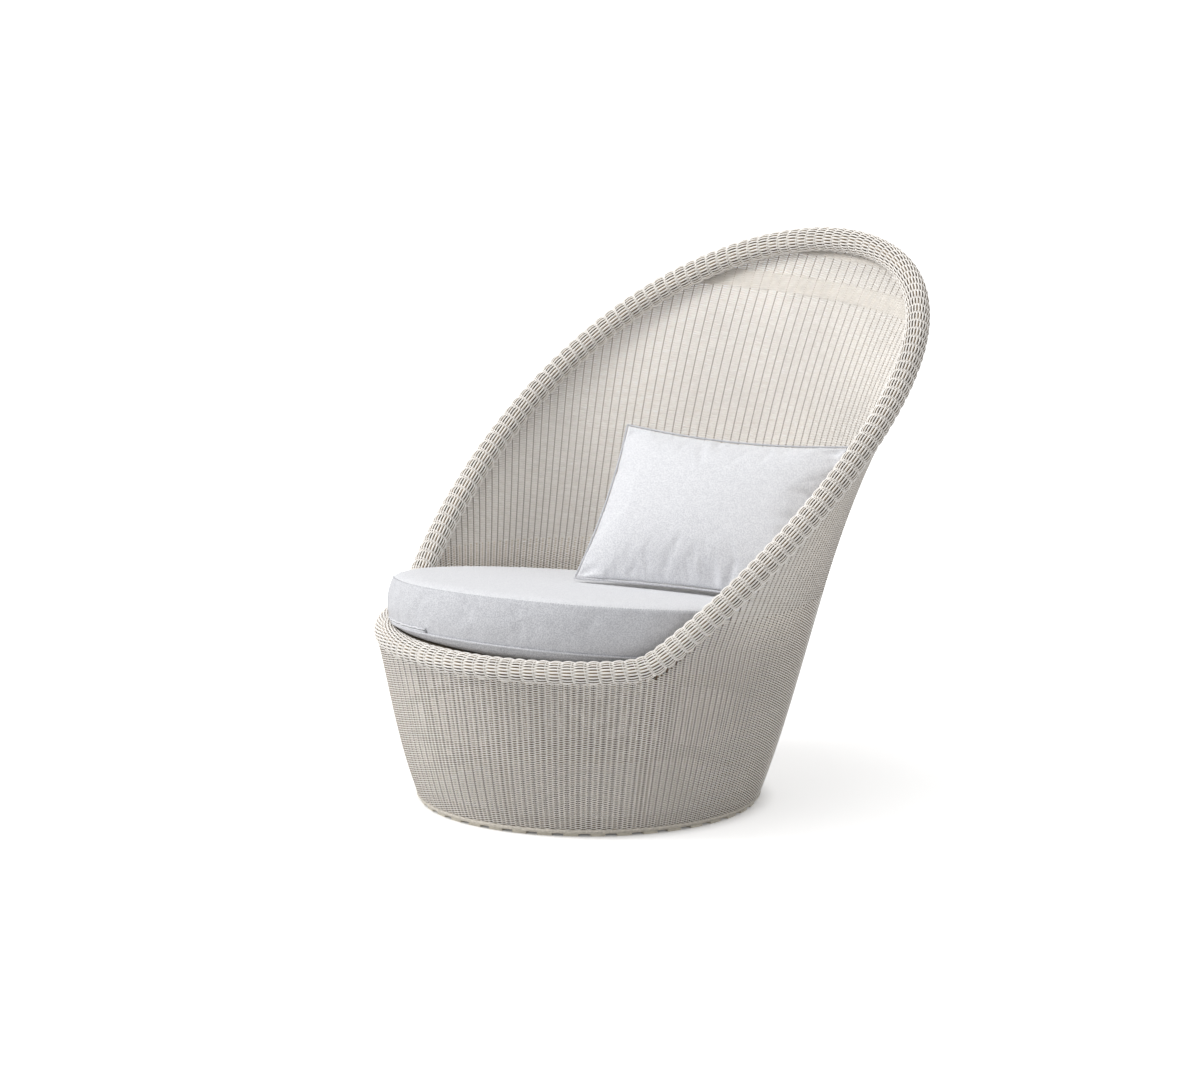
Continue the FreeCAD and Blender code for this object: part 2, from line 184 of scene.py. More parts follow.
def gridFaces(rows, columns, closeRows=False, closeColumns=False):
    # quads between neighbours of a grid of rows x columns points
    r = np.arange(rows if closeRows else rows - 1)
    c = np.arange(columns if closeColumns else columns - 1)
    r, c = np.meshgrid(r, c, indexing="ij")
    nextR, nextC = (r + 1) % rows, (c + 1) % columns
    quads = np.stack([r * columns + c, r * columns + nextC, nextR * columns + nextC, nextR * columns + c], -1)
    return quads.reshape(-1, 4)


def readPoints(mesh):
    co = np.empty(len(mesh.vertices) * 3, np.float32)
    mesh.vertices.foreach_get("co", co)
    return co.reshape(-1, 3)


def writePoints(mesh, points):
    mesh.vertices.foreach_set("co", np.asarray(points, np.float32).ravel())
    mesh.update()


def copiesOf(faces, count, step):
    # the faces over and over, each time a step of corner numbers further on
    return (faces[None] + (np.arange(count) * step)[:, None, None]).reshape(-1, faces.shape[1])


def strandPiece(name, centres, outward, across, depth, width, shades, keepLink=True, closed=False):
    # strands: each row of centres gets a four-cornered ring at every point, out, up, in and down; depth and
    # width are half a strand's size through and along the wall, and keepLink says which neighbours are joined
    rows, count = centres.shape[:2]
    corner = np.stack([outward, across, -outward, -across], 2)
    depth, width = np.broadcast_to(depth, (rows, count)), np.broadcast_to(width, (rows, count))
    half = np.stack([depth, width, depth, width], -1)
    points = centres[:, :, None, :] + corner * half[..., None]
    index = np.arange(rows * count * 4).reshape(rows, count, 4)
    a = index if closed else index[:, :-1]
    b = np.roll(index, -1, 1) if closed else index[:, 1:]
    quads = np.stack([a, np.roll(a, -1, 2), np.roll(b, -1, 2), b], -1)[keepLink]
    quads = quads.reshape(-1, 4)
    used = np.unique(quads)
    lookup = np.full(points.shape[0] * count * 4, -1)
    lookup[used] = np.arange(len(used))
    # the shade at each corner picks the painted shade of the strand tone
    return makePiece(name, points.reshape(-1, 3)[used] * mm, lookup[quads], finish["wicker"],
                     "frame", attributes={"shade": shades.reshape(-1)[used]})


# Material helpers
def newMaterial(name):
    # a node material with its Principled shader
    material = bpy.data.materials.new(name)
    material.use_nodes = True
    tree = material.node_tree
    return material, tree, tree.nodes["Principled BSDF"]


def feed(made, inputs):
    # an input goes by its label, or by i and its number, and takes a socket or a value
    for key, value in inputs.items():
        socket = made.inputs[int(key[1:])] if key[0] == "i" and key[1:].isdigit() else made.inputs[key]
        if isinstance(value, bpy.types.NodeSocket):
            made.id_data.links.new(value, socket)
        else:
            socket.default_value = value


def node(tree, kind, settings=None, **inputs):
    # a node with its settings and its inputs
    made = tree.nodes.new(kind)
    for key, value in (settings or {}).items():
        setattr(made, key, value)
    feed(made, inputs)
    return made


def maths(tree, operation, *values):
    # one step of arithmetic on sockets or numbers
    made = node(tree, "ShaderNodeMath", {"operation": operation})
    feed(made, {"i%d" % place: value for place, value in enumerate(values)})
    return made.outputs[0]


def noise(tree, place, scale, detail):
    # soft noise from 0 to 1
    return node(tree, "ShaderNodeTexNoise", Vector=place, Scale=scale, Detail=detail).outputs["Fac"]


def mix(tree, share, first, second):
    # the second colour by its share, and the first by the rest
    return node(tree, "ShaderNodeMix", {"data_type": "RGBA"}, i0=share, i6=first, i7=second).outputs[2]


def bump(tree, height, strength, distance):
    # the normal that a height gives
    return node(tree, "ShaderNodeBump", Strength=strength, Distance=distance, Height=height).outputs[0]


def spread(tree, value, low, high, least=0.0, most=1.0, way="LINEAR"):
    # a value between low and high mapped to least and most, and held there outside
    return node(tree, "ShaderNodeMapRange", {"interpolation_type": way}, i0=value,
                i1=low, i2=high, i3=least, i4=most).outputs[0]


def ramp(tree, factor, stops):
    # colours between stops along a factor
    made = node(tree, "ShaderNodeValToRGB", Fac=factor)
    elements = made.color_ramp.elements
    while len(elements) < len(stops):
        elements.new(0.5)
    for element, (place, colour) in zip(elements, stops):
        element.position = place
        element.color = (*colour, 1.0)
    return made.outputs["Color"]


def groupTree(name, colours, values=()):
    # a node group that takes colours and values and puts out a colour and a height
    tree = bpy.data.node_groups.new(name, "ShaderNodeTree")
    sockets = [(label, "INPUT", "Color") for label in colours]
    sockets += [(label, "INPUT", "Float") for label in values]
    for label, side, kind in sockets + [("Color", "OUTPUT", "Color"), ("Height", "OUTPUT", "Float")]:
        tree.interface.new_socket(label, in_out=side, socket_type="NodeSocket" + kind)
    return tree, tree.nodes.new("NodeGroupInput"), tree.nodes.new("NodeGroupOutput")


# Heather: two yarn tones in short flecks, with a fine plain weave in the height
heather = {
    "fleckShare": 0.92,
    "cloudShare": 0.08,
    "contrast": (0.41, 0.59),     # noise between these values runs from the dark to the light yarn
    "weaveTurns": (0.6, 2.17),    # directions of the two threads
}


def heatherGroup():
    # yarn tone by the weighted sum of fine flecks and a slow cloud; height by the two threads' waves
    tree, given, out = groupTree("heather", ("Light", "Dark"), ("Yarn Scale",))
    place = node(tree, "ShaderNodeTexCoord").outputs["Object"]
    flecks = noise(tree, place, given.outputs["Yarn Scale"], 2.0)
    cloud = maths(tree, "MULTIPLY", noise(tree, place, 60.0, 3.0), heather["cloudShare"])
    yarn = maths(tree, "MULTIPLY_ADD", flecks, heather["fleckShare"], cloud)
    share = spread(tree, yarn, *heather["contrast"])
    colour = mix(tree, share, given.outputs["Dark"], given.outputs["Light"])
    waves = []
    for turn in heather["weaveTurns"]:
        turned = node(tree, "ShaderNodeMapping", Vector=place, Rotation=(0.0, 0.0, turn))
        wave = node(tree, "ShaderNodeTexWave", Vector=turned.outputs[0], Scale=170.0, Distortion=1.5)
        waves.append(wave.outputs["Fac"])
    feed(out, {"Color": colour, "Height": maths(tree, "ADD", maths(tree, "MULTIPLY", *waves), flecks)})
    return tree


# Strand tone: painted shade on the strands, from the crest colour over a darker flank to a dark recess by the
# shade on them, with soft streaks along them
strandTone = {
    "recessToFlank": (0.35, 0.6),
    "flankToCrest": (0.6, 0.8),
    "noise": (0.7, 1.3),
    "tone": (0.93, 1.06),         # the colour is multiplied by this over that noise
    "streak": (1.0, 1.0, 12.0),
}


def strandGroup():
    # the painted shade picks a colour from recess over flank to crest, times a tone by the sum of streaks and
    # clouds
    tree, given, out = groupTree("strandTone", ("Crest", "Flank", "Recess"))
    shade = node(tree, "ShaderNodeAttribute", {"attribute_name": "shade"}).outputs["Fac"]
    place = node(tree, "ShaderNodeTexCoord").outputs["Object"]
    longer = node(tree, "ShaderNodeMapping", Vector=place, Scale=strandTone["streak"])
    streak = noise(tree, longer.outputs[0], 42.0, 3.0)
    cloud = noise(tree, place, 5.0, 2.0)
    colour = given.outputs["Recess"]
    for label, key in (("Flank", "recessToFlank"), ("Crest", "flankToCrest")):
        colour = mix(tree, spread(tree, shade, *strandTone[key]), colour, given.outputs[label])
    amount = spread(tree, maths(tree, "ADD", streak, cloud), *strandTone["noise"], *strandTone["tone"])
    tinted = node(tree, "ShaderNodeVectorMath", {"operation": "SCALE"}, i0=colour, Scale=amount)
    feed(out, {"Color": tinted.outputs[0], "Height": streak})
    return tree


heatherTree = heatherGroup()
strandTree = strandGroup()


def groupMaterial(name, group, inputs, strength, distance):
    # a material with its colour and bump from a node group
    material, tree, bsdf = newMaterial(name)
    made = node(tree, "ShaderNodeGroup", {"node_tree": group})
    feed(made, inputs)
    normal = bump(tree, made.outputs["Height"], strength, distance)
    feed(bsdf, {"Base Color": made.outputs["Color"], "Normal": normal})
    return material, bsdf


def fabricMaterial(name, light, dark, yarnScale=560.0, strength=0.25):
    # heathered cloth with a little sheen
    inputs = {"Light": (*light, 1), "Dark": (*dark, 1), "Yarn Scale": yarnScale}
    material, bsdf = groupMaterial(name, heatherTree, inputs, strength, 0.0006)
    feed(bsdf, {"Roughness": 0.92, "Specular IOR Level": 0.25, "Sheen Weight": 0.25, "Sheen Roughness": 0.5})
    return material


def strandMaterial(name, crest, flank, recess):
    # resin strand with fine streaks, its own colour on the crests and painted shade on the flanks and in the
    # recesses
    inputs = {"Crest": (*crest, 1), "Flank": (*flank, 1), "Recess": (*recess, 1)}
    material, bsdf = groupMaterial(name, strandTree, inputs, 0.3, 0.0004)
    feed(bsdf, {"Roughness": 0.62, "Specular IOR Level": 0.35})
    return material


def plainMaterial(name, colour, roughness, grain=90.0, spreadShare=0.12, roughSpread=0.08):
    # one colour, made darker and lighter, rougher and smoother by a soft cloud, with a fine grain as a bump
    material, tree, bsdf = newMaterial(name)
    place = node(tree, "ShaderNodeTexCoord").outputs["Object"]
    cloud = noise(tree, place, grain, 4.0)
    darker = tuple(value * (1 - spreadShare) for value in colour)
    lighter = tuple(min(1.0, value * (1 + spreadShare)) for value in colour)
    feed(bsdf, {"Base Color": ramp(tree, cloud, [(0.3, darker), (0.7, lighter)]),
                "Normal": bump(tree, noise(tree, place, 1500.0, 2.0), 0.15, 0.0003),
                "Roughness": spread(tree, cloud, 0, 1, roughness - roughSpread, roughness + roughSpread)})
    return material


def stakeMaterial(name, low, high, span=(0.3, 0.62)):
    # painted shade: dark in the shaded drum and lighter up the back, between two heights in metres
    material, tree, bsdf = newMaterial(name)
    place = node(tree, "ShaderNodeTexCoord").outputs["Object"]
    height = node(tree, "ShaderNodeSeparateXYZ", Vector=place).outputs["Z"]
    tones = ramp(tree, spread(tree, height, *span), [(0.0, low), (1.0, high)])
    feed(bsdf, {"Base Color": tones, "Roughness": 0.7})
    return material


finish = {
    # the strands' crest colour is their own; the flank and recess colours are painted shade
    "wicker": strandMaterial("wovenStrand", (0.93, 0.90, 0.86), (0.61, 0.49, 0.34), (0.16, 0.095, 0.045)),
    # stakes with painted shade, darker low in the drum
    "stake": stakeMaterial("innerStake", (0.13, 0.085, 0.05), (0.36, 0.31, 0.26)),
    # a dark tube that paints the shade inside the roll
    "shadeCore": plainMaterial("rollShadeTube", (0.10, 0.065, 0.04), 0.8),
    "border": plainMaterial("foldedBorder", (0.68, 0.635, 0.56), 0.65, grain=220.0, spreadShare=0.2),
    "pad": plainMaterial("glidePlastic", (0.72, 0.675, 0.58), 0.5),
    "frame": plainMaterial("coatedBar", (0.30, 0.25, 0.19), 0.5),
    # the hoop's own colour, darkened so that the stake slots over it read as painted shade
    "hoop": plainMaterial("wovenHoop", (0.61, 0.565, 0.50), 0.6),
    "deck": plainMaterial("deckWeave", (0.42, 0.36, 0.28), 0.7, grain=400.0, spreadShare=0.4),
    "seat": fabricMaterial("seatFabric", (0.83, 0.835, 0.855), (0.64, 0.645, 0.675)),
    # the seat fabric darkened into painted shade on the boxing, the underside and the piping
    "boxing": fabricMaterial("boxingFabricPaintedShade", (0.70, 0.705, 0.73), (0.50, 0.505, 0.535)),
    # the seat fabric darkened into painted shade along the pillow's edge
    "welt": fabricMaterial("weltFabricPaintedShade", (0.66, 0.665, 0.69), (0.50, 0.505, 0.53), 520.0),
    "stitch": plainMaterial("seamThread", (0.30, 0.305, 0.32), 0.8),
    "zipTape": fabricMaterial("zipTape", (0.36, 0.37, 0.39), (0.25, 0.26, 0.28), 1100.0, 0.4),
    "slider": plainMaterial("zipSlider", (0.30, 0.31, 0.33), 0.45),
}
print("materials ready:", len(finish))

# Woven shell
weave = {
    "rowPitch": 2.135,       # one row in front of a stake, the next behind it
    "strandRadius": 1.04,
    "drumSwing": 2.0,        # how far a row swings out and in
    "backSwing": 1.7,
    "drumShares": (0.0, 0.25, 0.5, 0.75),   # of the way from one stake to the next
    "backStepShare": 0.75,   # in the drum a row swings back this much half-way between the stakes
    "stripStepShare": 0.12,  # and runs nearly level on the light strips beside each stake
    "slotShades": (0.54, 0.46),   # middle and reach of the painted shade half-way, which are 0.5 and 0.5 at a stake
    "stripShade": 0.84,
    "flankShades": (0.42, 0.24),
    "bendShare": 0.08,       # up the back a row bends only this close to a stake
    "bendSwingShare": 0.3,
    "backShade": 0.82,
    "backFlankShades": (0.68, 0.76),        # at a stake and beside it
    "firstRow": 6.5,
    "rowStep": 4.0,          # a stake's length is measured in steps of this height
    "rowReachShare": 1.06,
    "footCurl": 5.0,         # the lowest rows draw in this much
    "footCurlHeight": 6.0,
    "hideUnderRoll": 13.0,
    "slopeShare": 0.73,      # room square to the climbing rim, of the room straight up
    "openBand": 22.0,        # a more open band under the roll, where the back's slots get darker painted shade
    "openSwingShare": 0.45,
    "drumBands": (0, 37, 74, 111, 148, 184),
    "backBands": (184, 225, 275, 330, 395, 490),
    "drumFade": (300.0, 392.0),     # the painted shade in the drum's slots fades out between these heights
    "backFade": (400.0, 600.0),     # and the back's painted shade gets lighter between these
    "recessShades": (0.6, 0.08),    # least painted shade of a slot up the wall, and what the back adds
    "shadeNoise": 0.02,
    "stakeRadius": 1.2,
    "stakeRings": 30,
    "stakeSides": 6,
    "stakeInset": 6.0,       # a stake ends this far under the rim's middle line
    "drumWobble": 0.1,
    "backWobble": 0.04,
    "hoops": ((841.0, 16.0), (899.0, 6.0)),   # height and half width of each hoop's band
    "hoopCover": 2.2,        # the strands are thicker over the hoops in the wall
}
random = np.random.default_rng(7)


def shellFrame(angle, z, inset):
    # point of the shell at an angle and height, with its outward normal and its upward direction
    slope = np.polyval(np.polyder(radiusCurve), z)
    drift = np.polyval(np.polyder(shiftCurve), z)
    radius = skinRadius(z) - inset
    point = np.stack([radius * np.sin(angle), skinShift(z) - radius * np.cos(angle) + drumY, z], -1)
    upward = unit(np.stack([slope * np.sin(angle), drift - slope * np.cos(angle), np.ones_like(z)], -1))
    along = np.stack([np.cos(angle), np.sin(angle), np.zeros_like(z)], -1)
    return point, unit(np.cross(along, upward)), upward


def rowHeights(starts, rows):
    # the rows keep their distance along the stakes, so each stake is measured up from the foot
    z = np.arange(weave["firstRow"], shell["heights"][3] * weave["rowReachShare"], weave["rowStep"])
    levels = np.broadcast_to(z, (len(starts), len(z)))
    point = shellFrame(stakeAngle(starts[:, None], levels), levels, 0.0)[0]
    steps = np.linalg.norm(np.diff(point, axis=1), axis=2)
    reach = np.concatenate([np.zeros((len(starts), 1)), np.cumsum(steps, axis=1)], 1)
    return np.stack([np.interp(rows * weave["rowPitch"], line, z) for line in reach], 1)


def fadeUp(z, span):
    return np.clip((z - span[0]) / (span[1] - span[0]), 0, 1)   # from 0 to 1 between two heights


def drumRib(rows, share):
    # swing and painted shade in the drum: alternate rows stand out at the stakes and drop back half-way
    # between
    side = np.where(rows[:, None] % 2 == 0, 1.0, -1.0)
    atStake, halfWay = share == 0, share == 0.5
    step = np.where(halfWay, -weave["backStepShare"], weave["stripStepShare"])
    swing = weave["drumSwing"] * side * np.where(atStake, 1.0, step)
    middle, reach = weave["slotShades"]
    strip = weave["stripShade"]
    outer, inner = [np.where(atStake, 0.5 + 0.5 * way, np.where(halfWay, middle - reach * way, strip))
                    for way in (side, -side)]
    flankBase, flankGain = weave["flankShades"]
    return swing, outer, inner, flankBase + flankGain * (outer + inner)


def backRow(rows, share, stake):
    # swing and painted shade up the back: a row passes in front of one stake and behind the next, flat
    # between them
    side = np.where((stake + rows[:, None]) % 2 == 0, 1.0, -1.0)
    atStake = share == 0
    swing = weave["backSwing"] * np.where(atStake, side, weave["bendSwingShare"] * side)
    outer = np.where(atStake, 0.5 + 0.5 * side, weave["backShade"])
    inner = np.where(atStake, 1 - outer, outer)
    return swing, outer, inner, np.where(atStake, *weave["backFlankShades"])


def weaveBand(name, first, last, shares, ribbed):
    # strands of some rows, sampled at shares of the way between the stakes: each point lies in the wall's
    # middle plus its swing outwards, and the strands end where the roll covers them
    rows = np.arange(first, last)
    starts = between(drumAngles, shares)
    share = np.tile(shares, shell["stakes"])[None, :]
    if ribbed:
        swing, outer, inner, flank = drumRib(rows, share)
    else:
        stake = np.repeat(np.arange(shell["stakes"]), len(shares))[None, :]
        swing, outer, inner, flank = backRow(rows, share, stake)
    z = rowHeights(starts, rows)
    z = z + weave["drumWobble" if ribbed else "backWobble"] * random.standard_normal(z.shape)
    curl = weave["footCurl"] * np.clip(1 - (z - weave["firstRow"]) / weave["footCurlHeight"], 0, 1) ** 2
    point, outward, upward = shellFrame(stakeAngle(starts[None, :], z), z, shell["wall"] / 2 + curl)
    back = point[..., 1] - drumY
    fall = np.where(back > shell["armStart"], weave["slopeShare"], 1.0)
    room = (rimHeight(back) - z) * fall - weave["hideUnderRoll"]
    clear = room > 0
    near = np.clip(1 - room / weave["openBand"], 0, 1)
    overHoop = np.zeros(z.shape, bool)
    for height, reach in weave["hoops"]:
        overHoop |= (np.abs(z - height) < reach) & (share != 0)
    swing = np.where(overHoop, 0.0, swing * (1 + weave["openSwingShare"] * near))
    centre = point + outward * swing[..., None]
    depth = weave["strandRadius"] * np.where(overHoop, weave["hoopCover"], 1.0)
    # painted shade in the slots: darkest low in the drum and in the band under the roll, held lighter higher
    # up the wall
    least, gain = weave["recessShades"]
    if ribbed:
        recess = least * fadeUp(z, weave["drumFade"])
    else:
        recess = (least + gain * fadeUp(z, weave["backFade"])) * (1 - near)
    flank = np.broadcast_to(flank, z.shape)
    shade = np.stack([np.maximum(outer, recess), flank, np.maximum(inner, recess), flank], -1)
    shade = np.clip(shade + weave["shadeNoise"] * random.standard_normal(shade.shape), 0, 1)
    return strandPiece(name, centre, outward, upward, depth, weave["strandRadius"], shade,
                       clear & np.roll(clear, -1, 1), closed=True)


def weaveShell():
    # the drum's ribbed bands and the back's plain ones, each a piece of its own
    pieces = []
    bend = weave["bendShare"]
    for first, last in zip(weave["drumBands"], weave["drumBands"][1:]):
        pieces.append(weaveBand("drumRows%d" % first, first, last, weave["drumShares"], True))
    for first, last in zip(weave["backBands"], weave["backBands"][1:]):
        pieces.append(weaveBand("backRows%d" % first, first, last, (-bend, 0.0, bend), False))
    return pieces


def stakePiece():
    # upright stakes in the middle of the wall, from the foot up into the roll, each a many-sided rod
    rings, sides = weave["stakeRings"], weave["stakeSides"]
    top = rimPoint(rimAngles[:-1])[:, 2] - weave["stakeInset"]
    z = weave["firstRow"] + (top[:, None] - weave["firstRow"]) * np.linspace(0, 1, rings)[None, :]
    point, outward, upward = shellFrame(stakeAngle(drumAngles[:-1, None], z), z, shell["wall"] / 2)
    direction = directionsRound(outward, np.cross(upward, outward), sides)
    ring = point[:, :, None, :] + weave["stakeRadius"] * direction
    faces = copiesOf(gridFaces(rings, sides, closeColumns=True)[:, ::-1], shell["stakes"], rings * sides)
    return makePiece("stakes", ring * mm, faces, finish["stake"], "frame")


shellPieces = weaveShell() + [stakePiece()]
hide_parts("woven_shell")
print("shell woven:", sum(len(piece.data.polygons) for piece in shellPieces), "faces")

# Rolled rim
roll = {
    "strands": 46,
    "depth": 1.4,
    "midRadius": 18.65,
    "swing": 2.3,
    "shadeTubeRadius": 15.4,
    "shares": (-0.25, 0.0, 0.25, 0.5),              # of the way from one stake to the next
    "overShares": (0.74, 1.0, 0.74, 0.0),           # how far the strands over a stake swing out there
    "underShares": (-0.7, -0.95, -0.7, -0.1),
    "overWidths": (1.75, 1.9, 1.75, 1.3),
    "underWidth": 1.2,
    # painted shade on the roll's strands: the lobes over a stake light, the strands under them and the inner
    # side darker
    "overShade": 1.0,
    "overFlankShade": 0.7,
    "underShades": (0.56, 0.5, 0.56, 0.9),
    "innerShade": 0.1,
    "shadeTubeSides": 16,
    "wrapSides": 28,
    "wrapRadius": 0.95,
    "wrapSlant": 5.5,
    "wrapTurn": 0.6,
    "wrapLiftShares": (0.05, 0.8),                  # of the swing and the depth
    "wrapShades": (1.0, 0.8, 0.4, 0.8),             # painted shade at the out, side, in and side corners
}


def rimFrame(angles):
    # the rim's middle line at some angles, an outward and an upward direction square to it, and its own way
    point = rimPoint(angles)
    way = unit(np.roll(point, -1, 0) - np.roll(point, 1, 0))
    outward = np.stack([np.sin(angles), -np.cos(angles), np.zeros(len(angles))], -1)
    outward = bendTo(outward, way)
    return point, outward, np.cross(way, outward), way


def rollStrands():
    # strands side by side round the roll: at each stake every other one swings out over it in a lobe and the
    # rest pass under it, turn about from stake to stake
    angles = between(rimAngles, roll["shares"])
    point, outward, upward, way = rimFrame(angles)
    around = turnsRound(roll["strands"])
    direction = outward * np.cos(around)[:, None, None] + upward * np.sin(around)[:, None, None]
    stakes = shell["stakes"]
    stake = np.repeat(np.arange(stakes), len(roll["shares"]))
    over = (stake[None, :] + np.arange(roll["strands"])[:, None]) % 2 == 0
    side = np.where(over, np.tile(roll["overShares"], stakes), np.tile(roll["underShares"], stakes))
    width = np.where(over, np.tile(roll["overWidths"], stakes), roll["underWidth"])
    centre = point + direction * (roll["midRadius"] + roll["swing"] * side)[..., None]
    across = np.cross(np.broadcast_to(way, direction.shape), direction)
    # painted shade: strands under a stake and the inner side are darker
    outer = np.where(over, roll["overShade"], np.tile(roll["underShades"], stakes))
    flank = np.where(over, roll["overFlankShade"], np.tile(roll["underShades"], stakes))
    shade = np.stack([outer, flank, np.full_like(outer, roll["innerShade"]), flank], -1)
    shade = np.clip(shade + weave["shadeNoise"] * random.standard_normal(shade.shape), 0, 1)
    half = len(angles) // 2
    pieces = []
    for name, first in (("rollStrandsRight", 0), ("rollStrandsLeft", half)):
        span = np.arange(first, first + half + 1) % len(angles)
        pieces.append(strandPiece(name, centre[:, span], direction[:, span], across[:, span],
                                  roll["depth"], width[:, span], shade[:, span]))
    return pieces


def rollShadeTube():
    # dark tube under the strands, painted shade inside the roll: a ring of even turns at each station
    angles = between(rimAngles, (0.0, 0.5))
    point, outward, upward = rimFrame(angles)[:3]
    shadeCore = point[:, None, :] + roll["shadeTubeRadius"] * directionsRound(outward, upward, roll["shadeTubeSides"])
    faces = gridFaces(len(angles), roll["shadeTubeSides"], True, True)[:, ::-1]
    return makePiece("rollShadeTube", shadeCore * mm, faces, finish["shadeCore"], "frame")


def rollWraps():
    # stake ends wound round the roll in the dips between its lobes: rings, slanted by the sine of their turn
    angles = between(rimAngles, (0.5,))
    point, outward, upward, way = rimFrame(angles)
    sides = roll["wrapSides"]
    direction = directionsRound(outward, upward, sides)
    swingShare, depthShare = roll["wrapLiftShares"]
    radius = roll["midRadius"] + swingShare * roll["swing"] + roll["depth"] * depthShare
    slant = roll["wrapSlant"] * np.sin(turnsRound(sides) - roll["wrapTurn"])
    centre = point[:, None, :] + direction * radius + way[:, None, :] * slant[:, None]
    along = np.broadcast_to(way[:, None, :], centre.shape)
    shade = np.broadcast_to(np.array(roll["wrapShades"]), (len(angles), sides, 4))
    size = roll["wrapRadius"]
    return strandPiece("rollWraps", centre, direction, along, size, size, shade, closed=True)


rollPieces = rollStrands() + [rollShadeTube(), rollWraps()]
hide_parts("rim_roll")
print("roll wound:", sum(len(piece.data.polygons) for piece in rollPieces), "faces")

# Carried-over nodes
carried = {
    "bottom_border": "border", "floor_glides": "pad", "base_ring": "frame", "low_hoop": "frame",
    "seat_ring": "frame", "front_seat_bar": "frame", "middle_seat_bar": "frame", "rear_seat_bar": "frame",
    "rim_tube": "frame", "back_hoop": "hoop", "crown_hoop": "hoop", "seat_deck": "deck",
}
for place in ("front", "side", "rear", "back"):
    for side in ("left", "right"):
        carried["%s_upright_%s" % (place, side)] = "frame"
for name, key in carried.items():
    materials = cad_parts[name].data.materials
    materials.clear()
    materials.append(finish[key])
print("carried nodes finished:", len(carried))


# Padded pieces
def puff(piece, pinned, cushion, frames=20, shearShare=0.4):
    # pressure cloth with pinned seams, stepped over a few frames; no point moves further than the cap
    mesh = piece.data
    start = readPoints(mesh)
    group = piece.vertex_groups.new(name="seams")
    group.add([int(i) for i in np.nonzero(pinned)[0]], 1.0, "REPLACE")
    modifier = piece.modifiers.new("cloth", "CLOTH")
    cloth = modifier.settings
    cloth.vertex_group_mass = "seams"
    cloth.quality = 5
    cloth.mass = 0.25
    cloth.tension_stiffness = cushion["stiffness"]
    cloth.compression_stiffness = cushion["stiffness"]
    cloth.shear_stiffness = cushion["stiffness"] * shearShare
    cloth.bending_stiffness = cushion["bending"]
    cloth.use_pressure = True
    cloth.uniform_pressure_force = cushion["pressure"]
    cloth.shrink_min = cushion["shrink"]
    cloth.effector_weights.gravity = 0.0
    modifier.collision_settings.use_collision = False
    modifier.point_cache.frame_end = frames + 1
    for step in range(1, frames + 1):
        scene.frame_set(step)
    graph = bpy.context.evaluated_depsgraph_get()
    end = readPoints(piece.evaluated_get(graph).to_mesh())
    piece.modifiers.remove(modifier)
    piece.vertex_groups.remove(group)
    move = end - start
    length = np.linalg.norm(move, axis=1, keepdims=True)
    move *= np.minimum(1.0, cushion["cap"] * mm / np.maximum(length, 1e-9))
    writePoints(mesh, start + move)
    scene.frame_set(1)
    print(piece.name, "puffed: longest move %.1f mm, mean %.1f mm" % (length.max() / mm, length.mean() / mm))


def subdivide(piece, levels):
    # rounds a piece by smooth subdivision
    modifier = piece.modifiers.new("smooth", "SUBSURF")
    modifier.levels = levels
    modifier.render_levels = levels


def tubeRing(name, line, outward, radius, material, body, closed=True):
    # round cord along a closed or open line of points; an open one runs out to a point at its ends
    sides, tip = 8, 0.02
    way = unit(np.roll(line, -1, 0) - np.roll(line, 1, 0))
    size = np.full(len(line), radius)
    if not closed:
        way[0], way[-1] = unit(line[1] - line[0]), unit(line[-1] - line[-2])
        size[0] = size[-1] = tip
    outward = bendTo(outward, way)
    ring = line[:, None, :] + size[:, None, None] * directionsRound(outward, np.cross(way, outward), sides)
    faces = gridFaces(len(line), sides, closed, True)[:, ::-1]
    return makePiece(name, ring * mm, faces, material, body)


# Seat cushion: sizes in millimetres about its own axis, which leans back with the seat
seat = {
    "height": 272.0,
    "tilt": 7.9,
    "shift": (-4.0, -12.0),
    "seamRadius": 344.0,
    "seamHeight": 99.0,
    "pipingRadius": 341.0,
    "pipingHeight": 18.5,
    "footRadius": 308.0,
    "footHeight": 0.6,
    "footRings": (220.0, 110.0, 18.0),
    "belly": 6.0,            # how far the boxing stands out before the cloth puffs
    "crown": 3.0,
    "innerShare": 0.05,      # the crown's first ring
    "sideLean": 0.055,       # it lies higher on the sitter's left
    "leanHeight": 26,        # the lean grows up to this height
    "uneven": 0.8,
    "rippleShares": ((1.0, 3, 0.7), (0.6, 7, 2.1), (0.4, 13, 4.0)),   # share, waves round and start of each
    "rippleFrom": 300,       # rings wider than this are out of round
    "rollRoom": 23.6,        # least distance to the rim's middle line, where the roll presses the cushion in
    "sides": 192,
    "crownRings": 22,
    "boxingRings": 12,
    "curlRings": 5,
    "leastHeight": 0.5,
    "pressure": 3.0,
    "cap": 7.0,
    "shrink": -0.012,
    "stiffness": 18.0,
    "bending": 0.4,
    "cordRadius": 2.2,
    "cordLift": 2.0,         # how far a line's middle lies outside the cloth
    "cordRoom": 2.4,
    "stitches": 470,
    "stitchSize": (2.4, 1.1),
    "stitchLift": 0.3,
    "zipSides": 63,          # the zip's length in sides, from the front round the left
    "zipLips": (0.55, 1.2),  # places of its two lips in rings above the piping
    "zipMiddle": 0.8,
    "zipLift": 0.9,
    "lipRadius": 1.5,
    "tapeLift": 0.2,
    "sliderHalf": ((2.2,), (2.0,), (6.0,)),   # along, out and up
}
